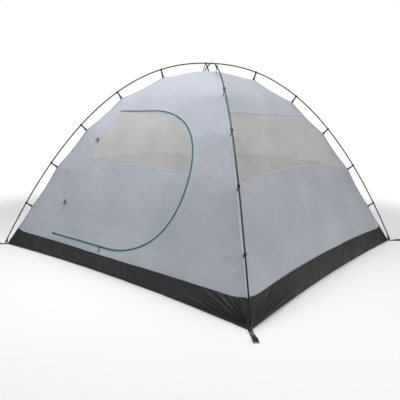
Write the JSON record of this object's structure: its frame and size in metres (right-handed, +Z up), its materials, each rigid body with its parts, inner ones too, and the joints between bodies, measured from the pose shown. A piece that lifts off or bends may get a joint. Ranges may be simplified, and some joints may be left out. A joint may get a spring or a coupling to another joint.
{
  "type": "dome tent",
  "caption": "Free-standing clip-up dome tent with crossed bent poles, see-through mesh bands, a dark tub floor and a D-shaped zipped side door.",
  "frame": {"origin": "on the ground, under the point where the two poles cross", "axes": "+Z up; the wall with the door faces -Y; +X is to the right of someone who faces that wall"},
  "size_m": [2.311, 2.2476, 1.3479],
  "materials": {
    "canopy": "plain-woven light grey polyester, slightly translucent",
    "mesh": "fine insect mesh, see-through",
    "tub": "coated dark grey woven floor cloth",
    "zipper": "teal zipper tape with a nylon coil",
    "plastic": "moulded black plastic",
    "webbing": "black woven webbing",
    "pole": "dark slate-green anodised tube"
  },
  "bodies": {
    "tent": {"floor_panel": "tub", "door_side_tub_wall": "tub", "right_side_tub_wall": "tub", "back_side_tub_wall": "tub", "left_side_tub_wall": "tub", "door_side_wall": "canopy", "right_side_lower_wall": "canopy", "right_side_mesh": "mesh", "right_side_top": "canopy", "back_side_lower_wall": "canopy", "back_side_mesh": "mesh", "back_side_top": "canopy", "left_side_lower_wall": "canopy", "left_side_mesh": "mesh", "left_side_top": "canopy", "zipper_track_on_wall": "zipper", "upper_pole_left_leg": "pole", "upper_pole_middle": "pole", "upper_pole_right_leg": "pole", "lower_pole_left_leg": "pole", "lower_pole_middle": "pole", "lower_pole_right_leg": "pole", "front_left_clip_1": "plastic", "front_left_clip_2": "plastic", "front_left_clip_3": "plastic", "front_left_clip_4": "plastic", "front_left_clip_5": "plastic", "front_right_clip_1": "plastic", "front_right_clip_2": "plastic", "front_right_clip_3": "plastic", "front_right_clip_4": "plastic", "front_right_clip_5": "plastic", "back_right_clip_1": "plastic", "back_right_clip_2": "plastic", "back_right_clip_3": "plastic", "back_right_clip_4": "plastic", "back_right_clip_5": "plastic", "back_left_clip_1": "plastic", "back_left_clip_2": "plastic", "back_left_clip_3": "plastic", "back_left_clip_4": "plastic", "back_left_clip_5": "plastic", "peak_hook": "plastic", "peak_webbing_fork": "webbing", "front_left_corner_tab": "webbing", "front_right_corner_tab": "webbing", "back_right_corner_tab": "webbing", "back_left_corner_tab": "webbing"},
    "door": {"door_lower_panel": "canopy", "door_mesh_window": "mesh", "zipper_track_on_door": "zipper"},
    "slider": {"zipper_slider": "plastic"},
    "pull_outside": {"zipper_pull_outside": "plastic"},
    "pull_inside": {"zipper_pull_inside": "plastic"},
    "toggle_upper": {"door_toggle_upper": "plastic"},
    "toggle_lower": {"door_toggle_lower": "plastic"},
    "front_left_buckle": {"front_left_fly_buckle": "plastic"},
    "front_right_buckle": {"front_right_fly_buckle": "plastic"},
    "back_right_buckle": {"back_right_fly_buckle": "plastic"},
    "back_left_buckle": {"back_left_fly_buckle": "plastic"}
  },
  "joints": [
    {"name": "door_swing", "type": "hinge", "parent": "tent", "child": "door", "pos_m": [-0.495, -0.77238, 0.572], "axis": [-0.1961, -0.4659, -0.8628], "range_deg": [0, 110]},
    {"name": "slider_travel", "type": "slide", "parent": "tent", "child": "slider", "axis": [1, 0, 0], "range_m": [-0.47, 0.055]},
    {"name": "pull_outside_swing", "type": "hinge", "parent": "slider", "child": "pull_outside", "pos_m": [-0.067, -0.97183, 0.15436], "axis": [-1, 0, 0], "range_deg": [0, 150]},
    {"name": "pull_inside_swing", "type": "hinge", "parent": "slider", "child": "pull_inside", "pos_m": [-0.067, -0.95688, 0.14715], "axis": [1, 0, 0], "range_deg": [-20, 120]},
    {"name": "toggle_upper_swing", "type": "hinge", "parent": "tent", "child": "toggle_upper", "pos_m": [-0.463, -0.65379, 0.79434], "axis": [-1, 0, 0], "range_deg": [0, 150]},
    {"name": "toggle_lower_swing", "type": "hinge", "parent": "tent", "child": "toggle_lower", "pos_m": [-0.55936, -0.86945, 0.36979], "axis": [-1, 0, 0], "range_deg": [0, 150]},
    {"name": "front_left_buckle_lift", "type": "hinge", "parent": "tent", "child": "front_left_buckle", "pos_m": [-1.10725, -1.07649, 0.0044], "axis": [-0.6971, 0.717, 0], "range_deg": [0, 100]},
    {"name": "front_right_buckle_lift", "type": "hinge", "parent": "tent", "child": "front_right_buckle", "pos_m": [1.10725, -1.07649, 0.0044], "axis": [-0.6971, -0.717, 0], "range_deg": [0, 100]},
    {"name": "back_right_buckle_lift", "type": "hinge", "parent": "tent", "child": "back_right_buckle", "pos_m": [1.10725, 1.07649, 0.0044], "axis": [0.6971, -0.717, 0], "range_deg": [0, 100]},
    {"name": "back_left_buckle_lift", "type": "hinge", "parent": "tent", "child": "back_left_buckle", "pos_m": [-1.10725, 1.07649, 0.0044], "axis": [0.6971, 0.717, 0], "range_deg": [0, 100]}
  ]
}
